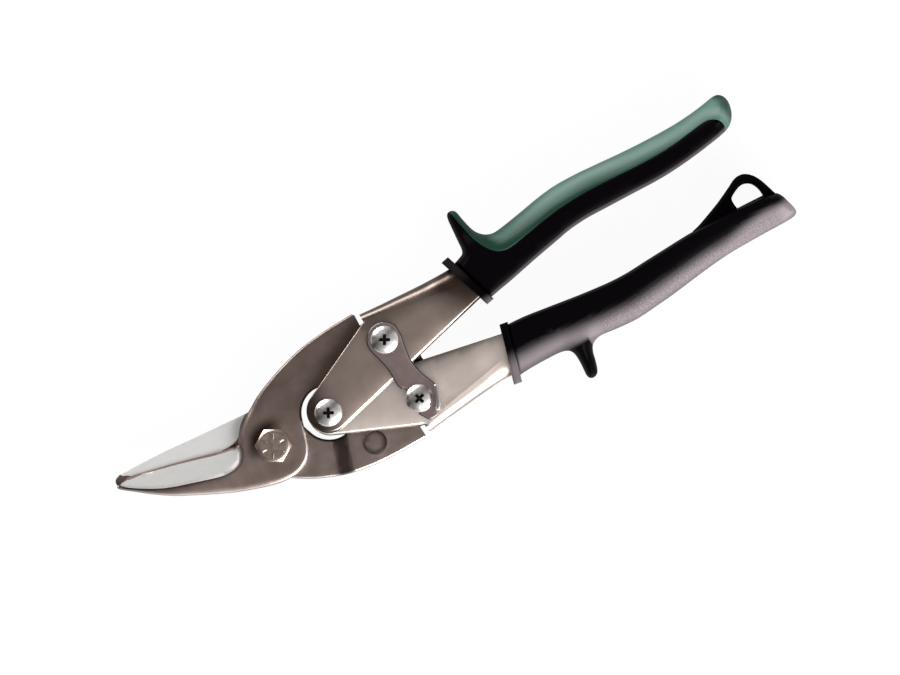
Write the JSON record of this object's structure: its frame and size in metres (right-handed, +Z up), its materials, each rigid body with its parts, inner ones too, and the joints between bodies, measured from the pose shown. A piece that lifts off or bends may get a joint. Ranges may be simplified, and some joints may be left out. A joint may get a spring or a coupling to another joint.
{
  "type": "aviation snips",
  "caption": "Compound-action aviation snips with offset forged jaws, pressed channel handles, swinging latch, finger guards and soft grips, closed and latched.",
  "frame": {"origin": "on the blade pivot's axis, in the plane that the tool rests on when it lies flat, which is the end face of the pivot bolt", "axes": "+X from the blade pivot to the grips along the closed tool's centre line, +Y towards the green grip, +Z up from the bench"},
  "size_m": [0.2503, 0.0747, 0.0226],
  "materials": {
    "forged_steel": "dark forged, ground bright along the jaws",
    "bolt_steel": "dark phosphated with bright corners",
    "bright_zinc": "bright zinc plate",
    "nylon_ring": "translucent nylon",
    "handle_steel": "satin nickel",
    "latch_steel": "satin nickel",
    "bushing_brass": "turned",
    "spring_steel": "black oil-tempered wire",
    "black_plastic": "moulded, leather grain on the outer band",
    "green_cover": "smooth satin soft cover"
  },
  "bodies": {
    "lower_handle": {"lower_handle": "handle_steel", "lower_grip": "black_plastic", "handle_pivot_screw": "bright_zinc", "handle_pivot_pin": "bright_zinc", "spring_bush": "bushing_brass", "return_spring": "spring_steel", "lower_arm_screw": "bright_zinc", "lower_arm_pin": "bright_zinc"},
    "upper_handle": {"upper_handle": "handle_steel", "upper_grip": "black_plastic", "upper_grip_cover": "green_cover", "upper_arm_spacers": "bright_zinc"},
    "front_blade": {"front_blade": "forged_steel", "pivot_bolt": "bolt_steel", "pivot_washer": "bright_zinc", "pivot_nut": "bolt_steel", "pivot_nut_ring": "nylon_ring"},
    "rear_blade": {"rear_blade": "forged_steel"},
    "latch_pin": {"upper_arm_pin": "bright_zinc", "upper_arm_screw": "bright_zinc", "latch_washer": "bright_zinc"},
    "latch": {"latch": "latch_steel"}
  },
  "joints": [
    {"name": "handles_open", "type": "hinge", "parent": "lower_handle", "child": "upper_handle", "pos_m": [0.02203, 0, 0.011], "axis": [0, 0, 1], "range_deg": [0, 32]},
    {"name": "front_blade_swing", "type": "hinge", "parent": "upper_handle", "child": "front_blade", "pos_m": [0.05149, 0.0117, 0.011], "axis": [0, 0, 1], "range_deg": [-7.4, 0]},
    {"name": "jaws_open", "type": "hinge", "parent": "front_blade", "child": "rear_blade", "pos_m": [0, 0, 0.011], "axis": [0, 0, 1], "range_deg": [-18, 0]},
    {"name": "latch_carry", "type": "hinge", "parent": "upper_handle", "child": "latch_pin", "pos_m": [0.05149, 0.0117, 0.011], "axis": [0, 0, 1], "range_deg": [0, 65]},
    {"name": "latch_swing", "type": "hinge", "parent": "latch_pin", "child": "latch", "pos_m": [0.05149, 0.0117, 0.011], "axis": [0, 0, 1], "range_deg": [0, 60]}
  ],
  "couplings": [
    {"joint": "front_blade_swing", "follows": "handles_open", "ratio": -0.22498},
    {"joint": "jaws_open", "follows": "handles_open", "ratio": -0.55005},
    {"joint": "latch_carry", "follows": "handles_open", "ratio": 2}
  ]
}
